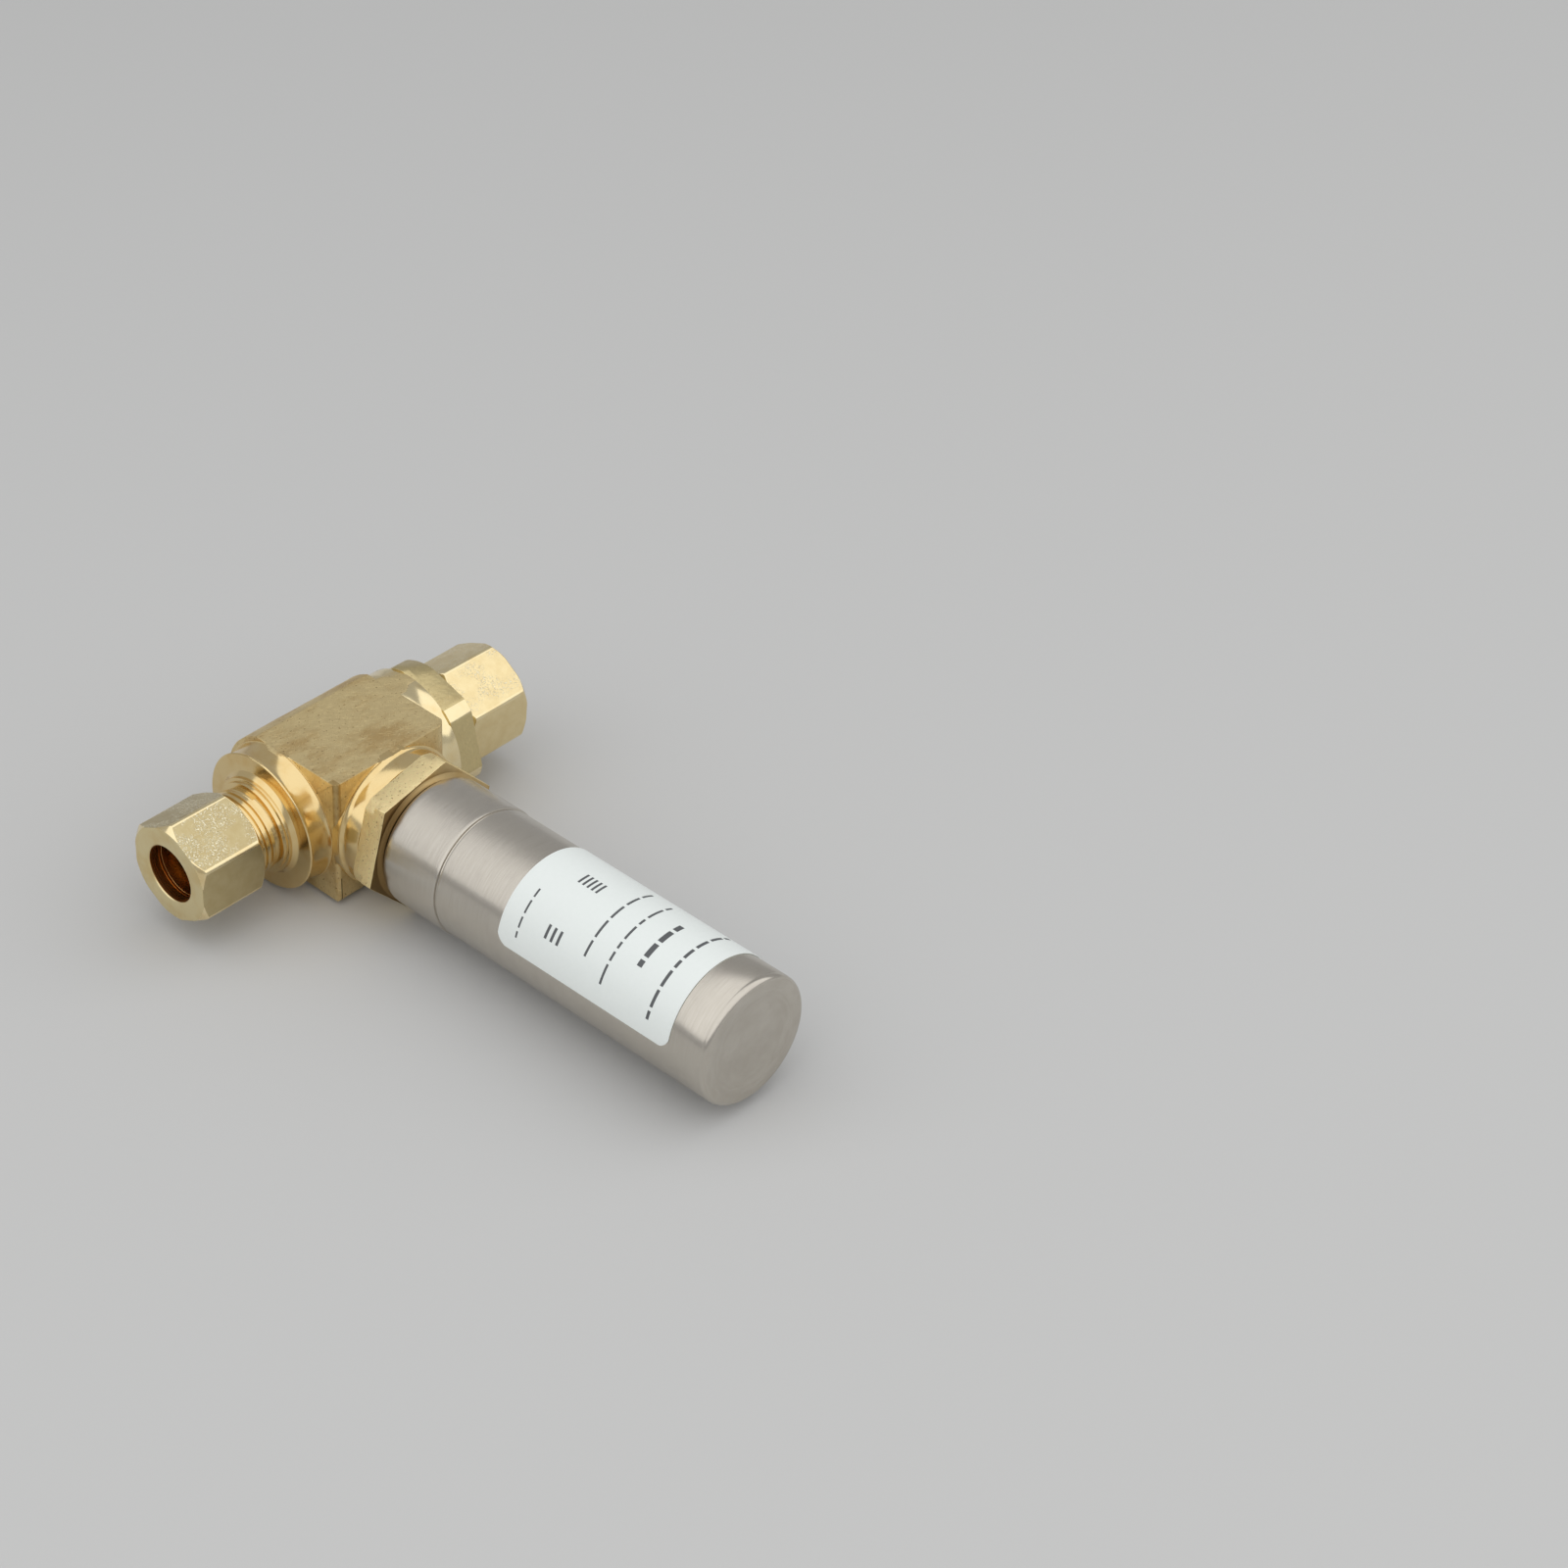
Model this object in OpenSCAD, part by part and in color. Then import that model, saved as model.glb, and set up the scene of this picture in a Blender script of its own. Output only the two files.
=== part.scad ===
// Water hammer arrestor on a compression tee, lying on its side.
// The run of the tee lies along X and the arrestor points along -Y.
// The origin is where the two centre lines cross. Lengths are in millimetres.

/* [Tube and waterway] */
// Outside diameter of the tube that each end of the run takes
tube_od = 9.525; // [9:0.005:9.8]
// Radial room around the tube in its socket, its ferrule and its nut
tube_fit = 0.08; // [0.03:0.01:0.12]
// Diameter of the waterway through the run and up the branch
waterway_d = 8; // [6:0.1:8.6]
// Distance from the tee's centre to the shoulder that stops the tube
tube_stop = 20; // [17:0.1:21.5]

/* [Compression ends] */
// Root diameter of the male thread, which carries the nut
thread_root_d = 13.08; // [12.9:0.01:14]
// Height of the thread above its root
thread_height = 0.6; // [0.4:0.01:0.8]
// Radial running clearance between the thread's root and the nut
thread_fit = 0.06; // [0.02:0.01:0.1]
// Distance from the tee's centre to the end of each thread
thread_end = 28.1; // [27:0.1:30]
// Length of thread inside each nut
thread_grip = 6.5; // [5:0.1:8]
// Wall left around the ferrule seat at the mouth of the thread
seat_lip = 0.5; // [0.3:0.01:0.6]
// Angle of the ferrule seat, measured from the run
seat_angle = 22; // [18:1:28]

/* [Nuts and ferrules] */
// Width of each nut across its flats
nut_flats = 15.875; // [15.6:0.005:17]
// Length of each nut
nut_length = 12.2; // [11:0.1:14]
// Radius of the flat ring on each end of a nut, inside the turned corners
nut_face_r = 8.35; // [8.1:0.01:8.6]
// Width of the chamfer at the mouth of the tube hole
nut_hole_chamfer = 0.2; // [0.1:0.01:0.6]
// How far the left nut is turned from having a corner on top, in degrees
left_nut_turn = 2.5; // [-30:0.5:30]
// How far the right nut is turned from having a corner on top, in degrees
right_nut_turn = 5.5; // [-30:0.5:30]
// Length of the straight band around each ferrule
ferrule_land = 1.8; // [1.5:0.1:2.2]
// Wall of each ferrule at its two thin ends
ferrule_tip = 0.35; // [0.25:0.01:0.5]
// Clearance between a ferrule and the two seats that squeeze it
ferrule_fit = 0.1; // [0.05:0.01:0.15]

/* [Tee body] */
// Distance from the tee's centre to the forging's flat top, and to its bottom
body_half_h = 11.6; // [11:0.1:12]
// Radius of the forging's round back
body_back_r = 12.6; // [12:0.1:13]
// Distance from the run's centre line to the flat face around the branch
body_front = 13.3; // [12.5:0.1:13.6]
// Distance from the tee's centre to the turned shoulder on the left
body_left = 11.4; // [10:0.1:12]
// Distance from the tee's centre to the forging's right face
body_right = 12.2; // [11.5:0.1:13]
// Radius of the forging's outer edges
body_edge_r = 0.8; // [0.4:0.1:1.5]
// Radius of the turned band around the root of the branch's neck
neck_band_r = 11.9; // [11.8:0.1:12.3]
// Length of that band, in front of the flat face
neck_band = 0.1; // [0.1:0.1:1.5]
// Radius of the branch's neck, between the band and the hexagon
neck_r = 11.3; // [10.5:0.1:11.6]
// Distance from the run's centre line to the end of the branch's neck
neck_end = 17.4; // [16:0.1:18.5]

/* [Run collars] */
// Radius of the round collar on the left, at its back
collar_r = 11.9; // [11.8:0.1:12.3]
// Radius of the left collar at its front
collar_front_r = 11.7; // [11.4:0.1:11.8]
// Distance from the tee's centre to the front face of the left collar
collar_face = 15.6; // [14.6:0.1:17]
// Width of the plain band at the back of the left collar
collar_band = 0.1; // [0.1:0.1:1.2]
// Depth of the shallow cove turned around the left collar
cove_depth = 0.45; // [0.2:0.01:0.8]
// Width of the chamfer on the left collar's front edge
collar_chamfer = 0.15; // [0.05:0.01:0.4]
// Radius of the cone between the thread and the left collar, where it meets the collar
shank_r = 8.8; // [8.4:0.1:9.5]
// Radius of the larger shoulder ring behind the thread
big_ring_r = 8.1; // [7.9:0.01:8.3]
// Radius of the smaller shoulder ring behind the thread
ring_r = 7.6; // [7.3:0.01:7.8]
// Length of the cone, and of each shoulder ring
shank_step = 0.65; // [0.4:0.01:0.8]
// Radius of the turned neck between the body and the right hexagon
right_neck_r = 11.35; // [9.55:0.1:11.55]
// Gap between the right hexagon and the right nut
right_hex_gap = 1.2; // [0.6:0.1:3]
// Thickness of the right hexagon
right_hex_t = 4.6; // [4:0.1:5]
// Width of the right hexagon across its flats
right_hex_flats = 21.6; // [21.4:0.1:22.5]
// Radius that the right hexagon's corners are turned to
right_hex_corner_r = 11.85; // [11.6:0.01:12.1]
// How far the right hexagon is turned from having a corner on top, in degrees
right_hex_turn = 12; // [-30:1:30]

/* [Arrestor base] */
// Width of the base's hexagon across its flats
base_hex_flats = 22.53; // [22.3:0.01:24]
// Thickness of the base's hexagon
base_hex_t = 3.9; // [3:0.05:5]
// How far the base's hexagon is turned from having a corner on top, in degrees
base_hex_turn = 17; // [-30:1:30]
// Radius that the hexagon's corners are turned to on the side of the tee
base_hex_back_r = 12.5; // [12.2:0.1:12.8]
// Length of the cone between the hexagon and the canister's mouth
base_cone = 1.2; // [0.8:0.1:1.6]
// Radius of the cone's large end, against the hexagon
base_cone_back_r = 11.1; // [10.9:0.01:11.14]
// Radius of the cone's small end
base_cone_r = 10.6; // [10.4:0.1:11]
// Diameter of the thread that screws the base into the branch
base_thread_d = 16; // [14:0.1:17]
// Length of the base's thread
base_thread_length = 8.2; // [6:0.1:9]
// Clearance around the base's thread, and at its end
base_fit = 0.05; // [0.02:0.01:0.1]
// Radius of the groove that the canister's rolled mouth grips
grip_groove_r = 9.2; // [8.8:0.1:9.3]
// Width of the groove that the canister's rolled mouth grips
grip_groove_w = 1.6; // [1.4:0.1:2]

/* [Canister] */
// Radius of the canister
canister_r = 10.69; // [10.5:0.01:11.5]
// Wall of the canister
canister_wall = 0.7; // [0.4:0.01:0.9]
// How much wider the canister's mouth is, on the radius
mouth_step = 0.2; // [0.15:0.01:0.4]
// Length of the wide mouth, from its rolled lip to the step
mouth_length = 11.4; // [9:0.1:14]
// Length of the cone at the step
step_length = 0.35; // [0.2:0.01:0.6]
// Length of the lip that is rolled in over the base's groove
lip_length = 1.1; // [0.9:0.1:1.3]
// How far the lip is rolled in
lip_roll = 0.75; // [0.6:0.01:0.9]
// Distance from the tee's centre to the canister's closed end
canister_end = 90; // [82:0.1:110]
// Radius of the edge around the closed end
end_edge_r = 1.1; // [0.8:0.1:1.5]

/* [Piston and seals] */
// Length of the piston
piston_length = 15; // [12:0.1:18]
// Radial running clearance of the piston in the canister
piston_fit = 0.08; // [0.03:0.01:0.1]
// Wall of the piston's cup
piston_wall = 2.4; // [2:0.1:3]
// Distance that the piston stands off the end of the base
piston_stand_off = 0.1; // [0.05:0.01:0.3]
// Thickness of the O-rings before they are squeezed
seal_d = 1.78; // [1.5:0.01:2]
// How much each O-ring is squeezed
seal_squeeze = 0.35; // [0.2:0.01:0.5]
// Clearance around each squeezed O-ring
seal_fit = 0.03; // [0.01:0.01:0.05]
// Radial clearance of the base's spigot in the canister's mouth
spigot_fit = 0.06; // [0.02:0.01:0.1]

/* [Label] */
// Distance from the tee's centre to the label's near edge
label_start = 47.8; // [40:0.1:55]
// Width of the label along the canister
label_width = 35.2; // [20:0.1:36]
// Angle where the label's lower edge lies, from +X over the top
label_low_edge = 175; // [150:1:200]
// Angle that the label covers
label_wrap = 205; // [120:1:300]
// Thickness of the label
label_t = 0.12; // [0.08:0.01:0.3]
// Gap of glue under the label
label_gap = 0.04; // [0.01:0.01:0.1]
// Radius of the label's corners
label_corner_r = 2.5; // [1:0.1:4]

/* [Hidden] */
$fn = 96;

// The cuts run past the solids by this much.
over = collar_r / 12;

// Compression ends, measured along the run from the tee's centre
socket_r = tube_od / 2 + tube_fit;
thread_root_r = thread_root_d / 2;
nut_bore_r = thread_root_r + thread_fit;
nut_back = thread_end - thread_grip;
nut_face = nut_back + nut_length;
right_hex_near = nut_back - right_hex_gap - right_hex_t;
seat_mouth_r = thread_root_r - seat_lip;
seat_depth = (seat_mouth_r - socket_r) / tan(seat_angle);
ferrule_r = seat_mouth_r - ferrule_fit;
ferrule_rise = ferrule_r - socket_r - ferrule_tip;
ferrule_inner_end = thread_end - ferrule_rise / tan(seat_angle);
ferrule_land_end = thread_end + ferrule_land;
ferrule_outer_end = ferrule_land_end + ferrule_rise;
nut_cone_far = ferrule_land_end + ferrule_r - socket_r + ferrule_fit;
nut_cone_near = nut_cone_far - (nut_bore_r - socket_r);

// Arrestor, measured along the branch from the tee's centre
base_hex_back = neck_end + base_fit;
base_hex_front = base_hex_back + base_hex_t;
base_cone_end = base_hex_front + base_cone;
base_thread_start = base_hex_back - base_thread_length;
spigot_start = base_cone_end + grip_groove_w;
canister_bore_r = canister_r - canister_wall;
mouth_r = canister_r + mouth_step;
mouth_bore_r = mouth_r - canister_wall;
mouth_start = base_cone_end + base_fit;
step_start = mouth_start + mouth_length;
spigot_r = mouth_bore_r - spigot_fit;
spigot_end = step_start - step_length;
piston_start = spigot_end + piston_stand_off;
piston_r = canister_bore_r - piston_fit;

// The centre of each of the label's corner arcs, as a share of its radius in from the edge
corner_inset_share = 0.96;

// Seals
seal_section = seal_d - seal_squeeze;
groove_w = seal_d * 1.25;

// Turns an object that is built along +Z so that it points along the left run, the right run or the branch
module to_left() rotate([0, -90, 0]) children();
module to_right() rotate([0, 90, 0]) children();
module to_branch() rotate([90, 0, 0]) children();

// A straight cylinder from one distance to another along +Z
module band(from, to, r) {
    translate([0, 0, from]) cylinder(h = to - from, r = r);
}

// A cone from one distance to another along +Z
module taper(from, to, r_from, r_to) {
    translate([0, 0, from]) cylinder(h = to - from, r1 = r_from, r2 = r_to);
}

// A hexagon with a corner on the local X axis
module hexagon(from, to, flats) {
    translate([0, 0, from]) cylinder(h = to - from, r = flats / 2 / cos(30), $fn = 6);
}

// The inside of one end of the run: waterway, tube socket and ferrule seat
module end_cavity() {
    rotate_extrude() polygon([
        [0, -over], [waterway_d / 2, -over], [waterway_d / 2, tube_stop], [socket_r, tube_stop],
        [socket_r, thread_end - seat_depth], [seat_mouth_r + over * tan(seat_angle), thread_end + over],
        [0, thread_end + over]
    ]);
}

// The forging's block: round at the back, flat on top, below and around the branch
module forged_block() {
    depth = body_front + body_back_r;
    width = body_left + body_right;
    intersection() {
        translate([-body_left, 0, 0]) rotate([90, 0, 90]) linear_extrude(width) side_profile();
        linear_extrude(2 * body_half_h, center = true) plan_outline(width, depth);
    }
}

// The block seen along the run
module side_profile() {
    intersection() {
        union() {
            circle(body_back_r);
            translate([-body_front, -body_half_h]) rounded_front(body_front, 2 * body_half_h);
        }
        square([4 * body_back_r, 2 * body_half_h], center = true);
    }
}

// A rectangle whose two corners on the left are round
module rounded_front(w, h) {
    translate([body_edge_r, 0]) square([w - body_edge_r, h]);
    translate([0, body_edge_r]) square([w, h - 2 * body_edge_r]);
    for (y = [body_edge_r, h - body_edge_r]) translate([body_edge_r, y]) circle(body_edge_r);
}

// The block seen from above, with round corners on the side of the branch
module plan_outline(width, depth) {
    translate([-body_left, -body_front + body_edge_r]) square([width, depth - body_edge_r]);
    translate([-body_left + body_edge_r, -body_front]) square([width - 2 * body_edge_r, depth]);
    for (x = [-body_left + body_edge_r, body_right - body_edge_r]) {
        translate([x, -body_front + body_edge_r]) circle(body_edge_r);
    }
}

// The left end outside the block: collar with its cove, shank, shoulder ring and thread
module left_end() {
    cove_near = body_left + collar_band;
    cove_half = (collar_face - collar_chamfer - cove_near) / 2;
    cove_r = (cove_half * cove_half + cove_depth * cove_depth) / (2 * cove_depth);
    difference() {
        union() {
            band(0, cove_near + cove_half, collar_r);
            band(0, collar_face - collar_chamfer, collar_front_r);
            taper(collar_face - collar_chamfer, collar_face, collar_front_r, collar_front_r - collar_chamfer);
        }
        rotate_extrude() {
            translate([collar_r + cove_r - cove_depth, cove_near + cove_half]) circle(cove_r);
        }
    }
    taper(collar_face, collar_face + shank_step, shank_r, big_ring_r);
    band(collar_face, collar_face + 2 * shank_step, big_ring_r);
    band(collar_face, collar_face + 3 * shank_step, ring_r);
    band(collar_face, thread_end, thread_root_r);
}

// The right end outside the block: neck, hexagon with turned corners, and thread
module right_end() {
    band(0, right_hex_near, right_neck_r);
    intersection() {
        rotate(180 - right_hex_turn) {
            hexagon(right_hex_near, right_hex_near + right_hex_t, right_hex_flats);
        }
        band(right_hex_near, right_hex_near + right_hex_t, right_hex_corner_r);
    }
    band(0, thread_end, thread_root_r);
}

// The brass tee, forged in one piece and turned on its three ends
module tee_body() {
    color("goldenrod") difference() {
        union() {
            forged_block();
            intersection() {
                union() {
                    to_left() left_end();
                    to_branch() band(0, body_front + neck_band, neck_band_r);
                }
                cube([4 * nut_face, 4 * nut_face, 2 * body_half_h], center = true);
            }
            to_right() right_end();
            to_branch() band(0, neck_end, neck_r);
        }
        to_left() end_cavity();
        to_right() end_cavity();
        to_branch() {
            band(0, neck_end, waterway_d / 2);
            band(base_thread_start - base_fit, neck_end + over, base_thread_d / 2 + base_fit);
        }
    }
}

// One compression nut, open at the back, with the seat that squeezes the ferrule
module nut() {
    cone_r = nut_face_r + nut_length / tan(30);
    difference() {
        intersection() {
            hexagon(nut_back, nut_face, nut_flats);
            taper(nut_back, nut_face, nut_face_r, cone_r);
            taper(nut_back, nut_face, cone_r, nut_face_r);
        }
        nut_cavity();
    }
}

// The inside of a nut: threaded length, the cone that squeezes the ferrule, and the tube hole
module nut_cavity() {
    mouth_r = nut_bore_r + thread_height + over;
    hole_r = socket_r + nut_hole_chamfer + over;
    rotate_extrude() polygon([
        [0, nut_back - over], [mouth_r, nut_back - over], [nut_bore_r, nut_back + thread_height],
        [nut_bore_r, nut_cone_near], [socket_r, nut_cone_far], [socket_r, nut_face - nut_hole_chamfer],
        [hole_r, nut_face + over], [0, nut_face + over]
    ]);
}

module left_nut() {
    color("khaki") to_left() rotate(-left_nut_turn) nut();
}

module right_nut() {
    color("khaki") to_right() rotate(180 + right_nut_turn) nut();
}

// One ferrule: a brass ring with a cone at each end
module ferrule() {
    tip_r = socket_r + ferrule_tip;
    difference() {
        union() {
            taper(ferrule_inner_end, thread_end, tip_r, ferrule_r);
            band(thread_end, ferrule_land_end, ferrule_r);
            taper(ferrule_land_end, ferrule_outer_end, ferrule_r, tip_r);
        }
        band(ferrule_inner_end - over, ferrule_outer_end + over, socket_r);
    }
}

module left_ferrule() {
    color("darkorange") to_left() ferrule();
}

module right_ferrule() {
    color("darkorange") to_right() ferrule();
}

// What a lathe takes off outside one radius
module turned_off(from, to, r) {
    difference() {
        band(from, to, 2 * r);
        band(from - over, to + over, r);
    }
}

// The seat of an O-ring, cut around a plug of radius r at one distance along +Z
module seal_groove(at, r) {
    turned_off(at - groove_w / 2, at + groove_w / 2, r - seal_section - seal_fit);
}

// An O-ring squeezed between the floor of its groove and a wall of radius wall_r
module seal(at, wall_r) {
    outer = wall_r - seal_fit;
    inner = outer - seal_section + seal_fit;
    rotate_extrude() {
        intersection() {
            translate([(outer + inner) / 2, at]) circle(seal_d / 2, $fn = 48);
            translate([inner, at - seal_d]) square([outer - inner, 2 * seal_d]);
        }
    }
}

// The brass base: thread, hexagon, cone, grip groove and spigot around one waterway
module arrestor_base() {
    color("darkkhaki") to_branch() difference() {
        union() {
            band(base_thread_start, spigot_end, base_thread_d / 2);
            difference() {
                rotate(90 - base_hex_turn) hexagon(base_hex_back, base_hex_front, base_hex_flats);
                turned_off(base_hex_back - over, base_hex_back + base_hex_t / 2, base_hex_back_r);
            }
            taper(base_hex_front, base_cone_end, base_cone_back_r, base_cone_r);
            band(base_hex_back, spigot_end, grip_groove_r);
            band(spigot_start, spigot_end, spigot_r);
        }
        band(base_thread_start - over, spigot_end + over, waterway_d / 2);
        seal_groove((spigot_start + spigot_end) / 2, spigot_r);
    }
}

module base_o_ring() {
    color("dimgray") to_branch() seal((spigot_start + spigot_end) / 2, mouth_bore_r);
}

// The canister's section from its rolled lip to its closed end, r being the radius of the plain part
module canister_section(r, step, start, end, edge_r) {
    lip_end = start + lip_length;
    polygon([
        [0, start], [r + step - lip_roll, start], [r + step, lip_end], [r + step, step_start - step_length],
        [r, step_start], [r, end - edge_r], [0, end - edge_r]
    ]);
    translate([0, end - 2 * edge_r]) square([r - edge_r, 2 * edge_r]);
    translate([r - edge_r, end - edge_r]) circle(edge_r, $fn = 48);
}

// The steel canister, drawn as one deep cup whose mouth is widened and rolled in over the base
module canister() {
    inner_end = canister_end - canister_wall;
    color("silver") to_branch() rotate_extrude() difference() {
        intersection() {
            canister_section(canister_r, mouth_step, mouth_start, canister_end, end_edge_r);
            translate([0, -over]) square([4 * canister_r, canister_end + 2 * over]);
        }
        canister_section(canister_bore_r, mouth_step, mouth_start, inner_end, end_edge_r - canister_wall);
        translate([0, mouth_start - over]) square([mouth_bore_r - lip_roll, 2 * over]);
    }
}

// The piston: a cup that is open towards the gas, with two O-ring grooves
module piston() {
    color("ivory") to_branch() difference() {
        band(piston_start, piston_start + piston_length, piston_r);
        band(piston_start + 2 * piston_wall, piston_start + piston_length + over, ring_cup_r());
        for (at = ring_places()) seal_groove(at, piston_r);
    }
}

function ring_cup_r() = piston_r - seal_section - piston_wall;
function ring_places() = [for (share = [0.25, 0.75]) piston_start + piston_length * share];

module piston_ring_front() {
    color("dimgray") to_branch() seal(ring_places()[0], canister_bore_r);
}

module piston_ring_rear() {
    color("dimgray") to_branch() seal(ring_places()[1], canister_bore_r);
}

// The label: a thin sleeve around part of the canister, with round corners
module label() {
    inner = canister_r + label_gap;
    outer = inner + label_t;
    corner_angle = label_corner_r * corner_inset_share / outer * 180 / PI;
    color("lightblue") to_branch() difference() {
        translate([0, 0, label_start]) rotate(label_low_edge - label_wrap) {
            rotate_extrude(angle = label_wrap) translate([inner, 0]) square([label_t, label_width]);
        }
        for (end = [0, 1], side = [0, 1]) {
            label_corner(label_low_edge - end * label_wrap, 2 * end - 1, side, corner_angle, outer);
        }
    }
}

// What a round corner takes off the label
module label_corner(angle, turn, side, corner_angle, outer) {
    edge = label_start + side * label_width;
    inward = 1 - 2 * side;
    place = edge + inward * label_corner_r * corner_inset_share;
    rotate(angle + turn * corner_angle) translate([0, 0, place]) difference() {
        translate([outer, -turn * label_corner_r * 2, -inward * label_corner_r * 2]) {
            cube([outer, 4 * label_corner_r, 4 * label_corner_r], center = true);
        }
        rotate([0, 90, 0]) cylinder(h = 2 * outer, r = label_corner_r);
    }
}

tee_body();
left_nut();
right_nut();
left_ferrule();
right_ferrule();
arrestor_base();
base_o_ring();
canister();
piston();
piston_ring_front();
piston_ring_rear();
label();
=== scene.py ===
# %% [markdown]
# # A water hammer arrestor on a brass tee
#
# The real object is a plumbing part. A forged brass tee has a compression nut at each end of its
# run. A steel canister screwed into its branch holds a piston and a charge of gas, which soak up
# the knock when a tap shuts. The packed CAD model gives the frame: where each part is and which
# part moves. This lesson puts the looks on it. Every size below is in millimetres until a mesh is
# made, because that is how the shop drawing of such a fitting would be read.

# %% Load the frame
import math
import random

import bmesh
import bpy
import numpy as np
from mathutils import Matrix, Vector, noise


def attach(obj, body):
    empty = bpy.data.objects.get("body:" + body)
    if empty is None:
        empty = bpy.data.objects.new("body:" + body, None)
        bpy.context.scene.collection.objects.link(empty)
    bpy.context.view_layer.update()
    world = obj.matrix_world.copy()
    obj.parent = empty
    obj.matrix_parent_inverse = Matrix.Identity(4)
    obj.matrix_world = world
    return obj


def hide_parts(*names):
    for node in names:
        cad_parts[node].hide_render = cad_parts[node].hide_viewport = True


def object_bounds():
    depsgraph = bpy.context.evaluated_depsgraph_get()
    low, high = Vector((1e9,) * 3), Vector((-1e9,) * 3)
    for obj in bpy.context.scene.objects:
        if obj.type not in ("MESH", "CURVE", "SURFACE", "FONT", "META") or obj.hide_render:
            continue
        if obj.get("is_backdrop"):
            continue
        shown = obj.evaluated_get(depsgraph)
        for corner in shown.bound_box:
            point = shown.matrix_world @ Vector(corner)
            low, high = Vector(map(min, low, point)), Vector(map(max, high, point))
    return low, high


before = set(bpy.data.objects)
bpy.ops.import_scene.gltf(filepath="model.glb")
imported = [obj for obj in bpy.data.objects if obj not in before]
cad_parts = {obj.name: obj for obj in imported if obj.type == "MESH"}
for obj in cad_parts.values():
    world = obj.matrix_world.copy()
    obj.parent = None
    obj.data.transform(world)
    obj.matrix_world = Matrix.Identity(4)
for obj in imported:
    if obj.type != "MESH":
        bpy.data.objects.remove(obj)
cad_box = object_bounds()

MM = 0.001
print("its box is", [round(v / MM, 2) for v in cad_box[1] - cad_box[0]], "mm")

# %% [markdown]
# ## The camera
#
# The photograph looks down at the fitting from its left front. A camera could be placed by eye,
# but a lens fitted to the edges of the nuts and the canister is exact, so its angles, distance and
# focal length are typed here. The view is built from three directions: toward the camera, right
# and up. The small roll turns right and up about the line of sight.

# %% Place the camera
camera_azimuth = math.radians(-47.914)
camera_elevation = math.radians(37.432)
camera_roll = math.radians(1.319)
camera_distance = 577.16
aim_right, aim_up = 70.26, -1.005
focal_length, sensor_width = 84.347, 36

toward_camera = Vector((
    math.sin(camera_azimuth) * math.cos(camera_elevation),
    -math.cos(camera_azimuth) * math.cos(camera_elevation),
    math.sin(camera_elevation),
))
level_right = Vector((math.cos(camera_azimuth), math.sin(camera_azimuth), 0))
level_up = toward_camera.cross(level_right)
view_right = level_right * math.cos(camera_roll) + level_up * math.sin(camera_roll)
view_up = level_up * math.cos(camera_roll) - level_right * math.sin(camera_roll)
camera_place = toward_camera * camera_distance + view_right * aim_right + view_up * aim_up

lens = bpy.data.cameras.new("photo_lens")
lens.sensor_width = sensor_width
lens.lens = focal_length
lens.clip_start = 0.01
camera = bpy.data.objects.new("photo_camera", lens)
camera_turn = Matrix((view_right, view_up, toward_camera)).transposed().to_4x4()
camera.matrix_world = Matrix.Translation(camera_place * MM) @ camera_turn
bpy.context.scene.collection.objects.link(camera)
bpy.context.scene.camera = camera
print("camera at", [round(v, 1) for v in camera_place], "mm")

# %% [markdown]
# ## The floor and the light
#
# Metal shows its surroundings more than its own colour, so the studio comes before the finishes.
# The floor is a plain pale sheet at the height of the lowest point of the fitting. One wide
# softbox hangs overhead and reaches out over the camera. It stops a little beyond the fitting, and
# the room behind it is a dim grey. The far edge of the box draws the sharp line along the
# canister, with the grey room above that line and the bright box below it. The studio's own sizes
# are in metres.

# %% Build the studio
scene = bpy.context.scene
scene.view_settings.view_transform = "Standard"

floor_height = cad_box[0].z
floor_size = 6
floor_colour = (0.57, 0.57, 0.565, 1)
bpy.ops.mesh.primitive_plane_add(size=floor_size, location=(0, 0, floor_height))
floor = bpy.context.object
floor.name = "studio_floor"
paper = bpy.data.materials.new("pale_paper")
paper.use_nodes = True
paper_shader = paper.node_tree.nodes["Principled BSDF"]
paper_shader.inputs["Base Color"].default_value = floor_colour
paper_shader.inputs["Roughness"].default_value = 0.9
paper_shader.inputs["Specular IOR Level"].default_value = 0.1
floor.data.materials.append(paper)
floor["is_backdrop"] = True

room_colour = (0.42, 0.423, 0.426, 1)
room = bpy.data.worlds.new("grey_room")
room.use_nodes = True
room.node_tree.nodes["Background"].inputs["Color"].default_value = room_colour
scene.world = room
print("floor at", round(floor_height / MM, 2), "mm")

# %% Hang the softbox
softbox_height = 0.8
softbox_reach = 0.4615
softbox_depth = 2.4
softbox_width = 8.0
softbox_brightness = 0.74
away_from_camera = Vector((0.5145, 0.8575, 0))
softbox_data = bpy.data.lights.new("softbox", "AREA")
softbox_data.shape = "RECTANGLE"
softbox_data.size = softbox_depth
softbox_data.size_y = softbox_width
softbox_data.energy = softbox_brightness * math.pi * softbox_depth * softbox_width
softbox = bpy.data.objects.new("softbox", softbox_data)
softbox_middle = softbox_reach - softbox_depth / 2
softbox.location = away_from_camera * softbox_middle + Vector((0, 0, softbox_height))
softbox.rotation_euler = (0, 0, math.atan2(away_from_camera.y, away_from_camera.x))
softbox.visible_camera = False
scene.collection.objects.link(softbox)
print("softbox power", round(softbox_data.energy, 1), "W")

# %% [markdown]
# ## Tools for finishes
#
# A finish is a small network of shader nodes. The helpers keep the networks short: one adds a node
# with its settings, others make soft noise, short strokes and bumps, and one mixes two colours by
# a mask. All patterns read the object's own coordinates in millimetres, so a scratch stays where it
# is when its part moves.

# %% Helpers for materials
X, Y, Z = 0, 1, 2


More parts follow.
